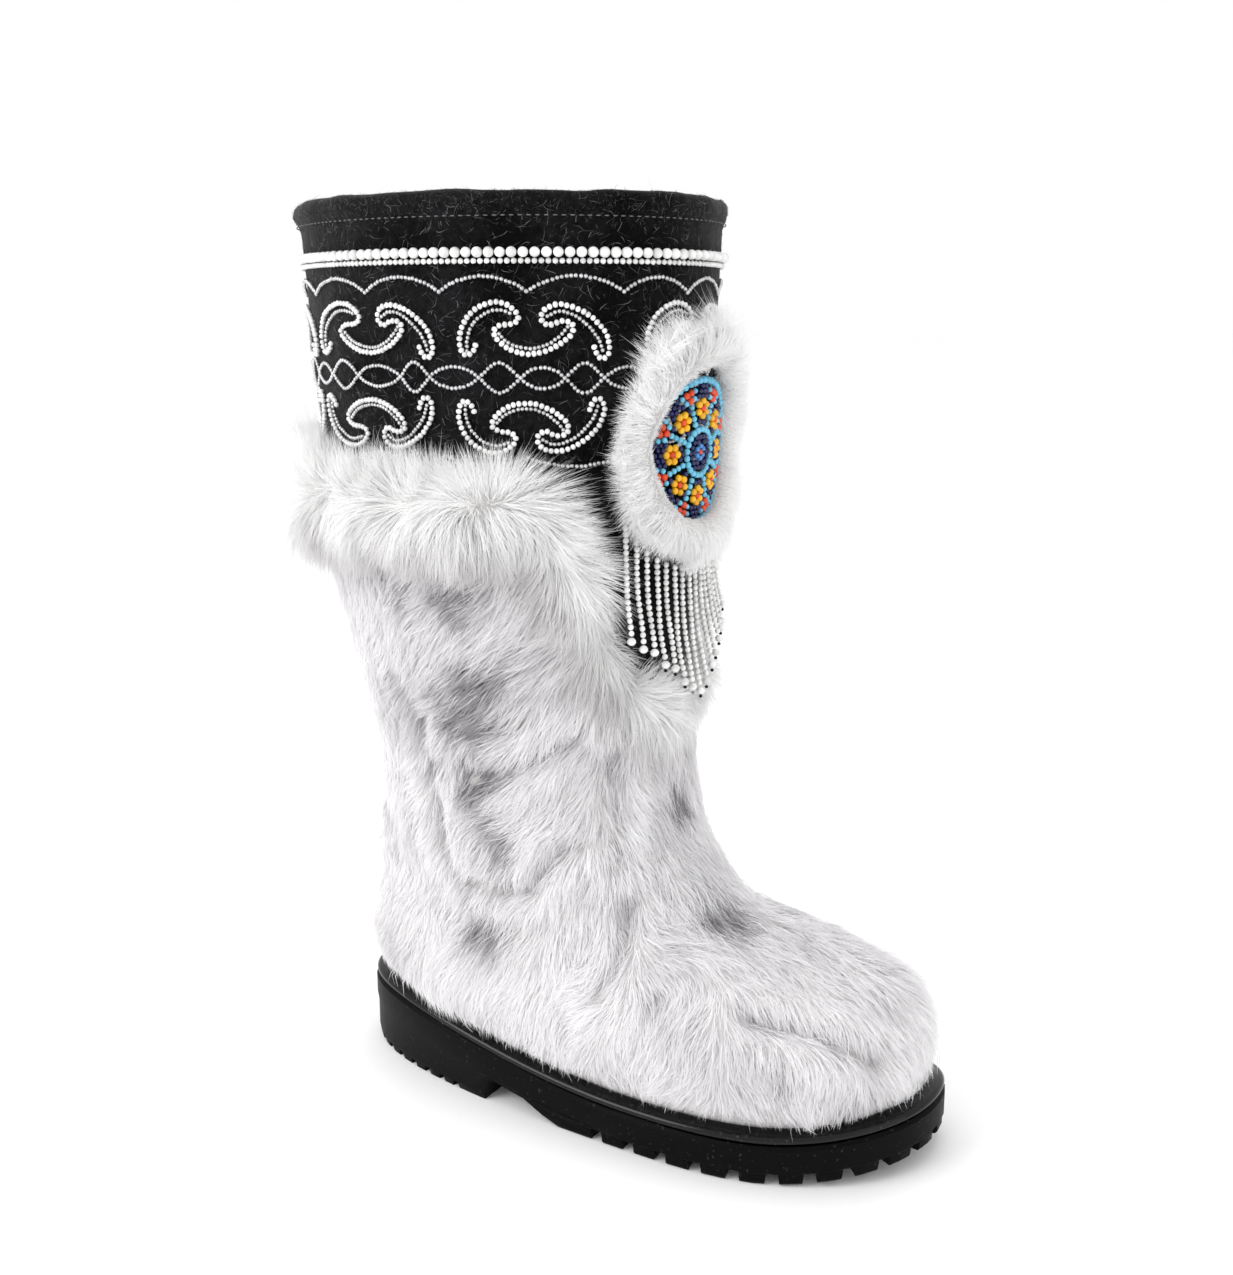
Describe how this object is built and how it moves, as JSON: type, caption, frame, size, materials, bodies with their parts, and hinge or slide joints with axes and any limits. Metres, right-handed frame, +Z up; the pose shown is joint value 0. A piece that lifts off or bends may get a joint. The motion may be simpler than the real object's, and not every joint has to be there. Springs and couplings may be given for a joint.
{
  "type": "winter boot",
  "caption": "Tall right winter boot: hollow pelt upper with felt shaft, deep fur cuff, beaded fur medallion with fringe, glossy rim and lugged rubber sole with heel.",
  "frame": {"origin": "middle of the boot's box on the floor under the sole", "axes": "+X to the toe, -Y to the outer side of the right foot, +Z up"},
  "size_m": [0.3016, 0.1782, 0.38],
  "materials": {
    "moulded_rubber": "black moulded rubber, satin",
    "glossy_rubber": "black rubber, glossy",
    "insole_felt": "pressed felt",
    "pelt": "white fur pelt with grey patches",
    "wool_felt": "charcoal wool felt",
    "deep_fur": "long white fur",
    "white_beads": "opaque white glass beads",
    "medallion_fur": "short white fur",
    "rosette_beads": "opaque coloured glass beads",
    "fringe_beads": "opaque white glass beads"
  },
  "bodies": {
    "root": {"outsole": "moulded_rubber", "welt": "glossy_rubber", "insole": "insole_felt", "upper": "pelt", "shaft": "wool_felt", "cuff": "deep_fur", "pearl_band": "white_beads", "medallion": "medallion_fur", "rosette": "rosette_beads", "fringe": "fringe_beads"}
  },
  "joints": []
}
